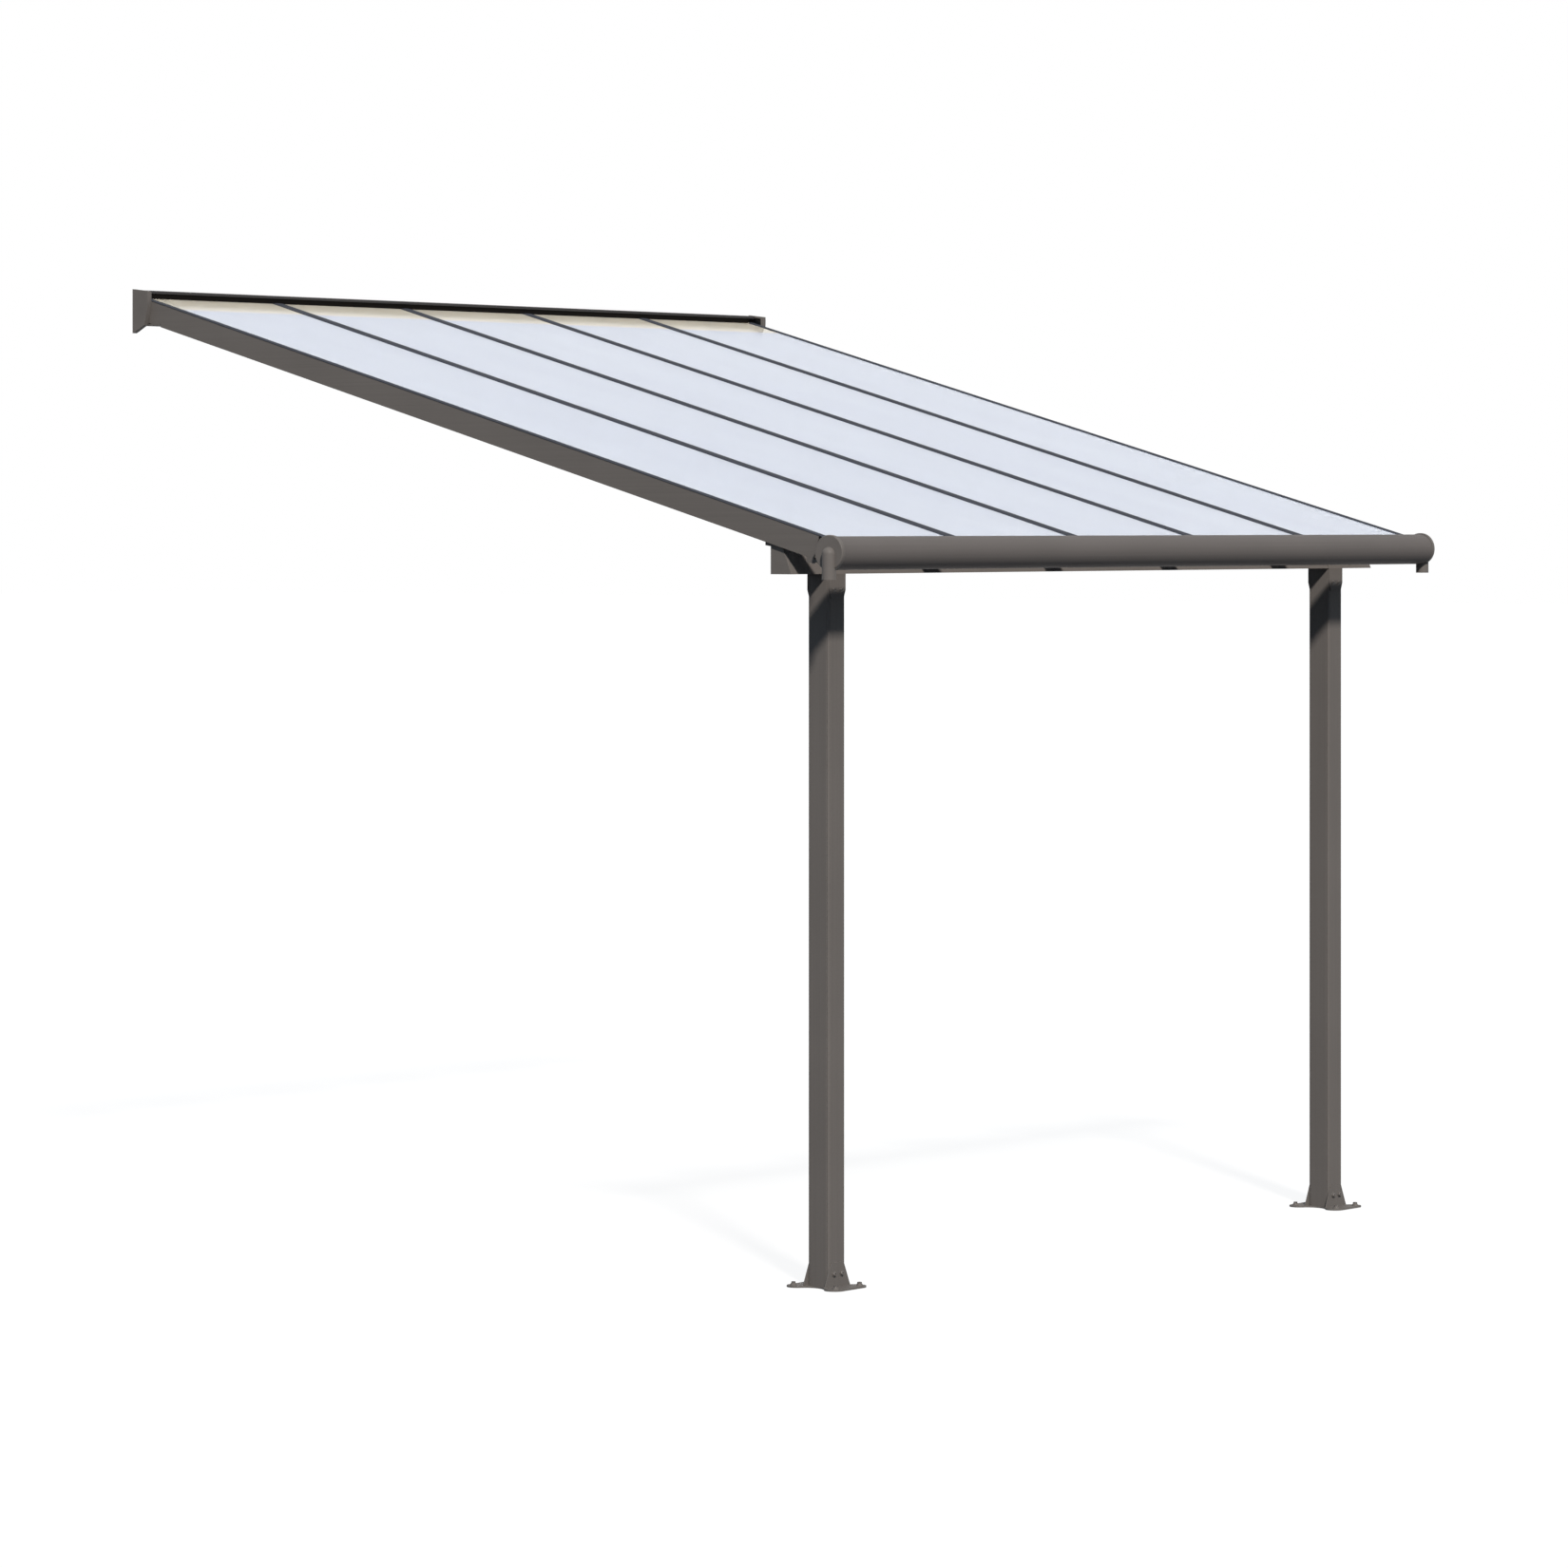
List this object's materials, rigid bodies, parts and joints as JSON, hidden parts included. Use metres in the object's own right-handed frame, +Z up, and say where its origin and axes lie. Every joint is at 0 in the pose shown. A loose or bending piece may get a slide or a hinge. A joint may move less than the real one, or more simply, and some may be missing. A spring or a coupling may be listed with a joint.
{
  "type": "attached patio cover",
  "caption": "Lean-to patio cover with clear roof panels on sloped rafters, a wall rail, a front beam on posts and a round gutter with outlets.",
  "frame": {"origin": "middle of the wall rail's back face, on the line of its screw holes", "axes": "+X along the wall to the right as seen from the garden, +Y into the wall, +Z up"},
  "size_m": [3.155, 2.8855, 2.9747],
  "materials": {
    "frame": "satin powder coat, warm dark grey",
    "strip": "satin powder coat, dark grey",
    "bracket": "fine powder coat, warm dark grey",
    "moulded": "moulded, slightly satin, warm dark grey",
    "panel": "clear glossy sheet, faint blue",
    "seal": "matt black rubber"
  },
  "bodies": {
    "root": {"wall_profile": "frame", "wall_cover": "frame", "wall_seal": "seal", "wall_cap_left": "moulded", "wall_cap_right": "moulded", "side_rafter_left": "frame", "side_rafter_right": "frame", "rafter_1": "frame", "rafter_2": "frame", "rafter_3": "frame", "rafter_4": "frame", "side_cap_left": "strip", "side_cap_right": "strip", "rafter_cap_1": "strip", "rafter_cap_2": "strip", "rafter_cap_3": "strip", "rafter_cap_4": "strip", "panel_1": "panel", "panel_2": "panel", "panel_3": "panel", "panel_4": "panel", "panel_5": "panel", "panel_end_1": "strip", "panel_end_2": "strip", "panel_end_3": "strip", "panel_end_4": "strip", "panel_end_5": "strip", "front_beam": "frame", "beam_cap_left": "moulded", "beam_cap_right": "moulded", "gutter": "frame", "gutter_cap_left": "moulded", "gutter_cap_right": "moulded", "gutter_bracket_1": "bracket", "gutter_bracket_2": "bracket", "gutter_bracket_3": "bracket", "gutter_bracket_4": "bracket", "gutter_bracket_5": "bracket", "gutter_bracket_6": "bracket", "post_left": "frame", "post_right": "frame", "post_head_left": "bracket", "post_head_right": "bracket", "foot_left": "bracket", "foot_right": "bracket"}
  },
  "joints": []
}
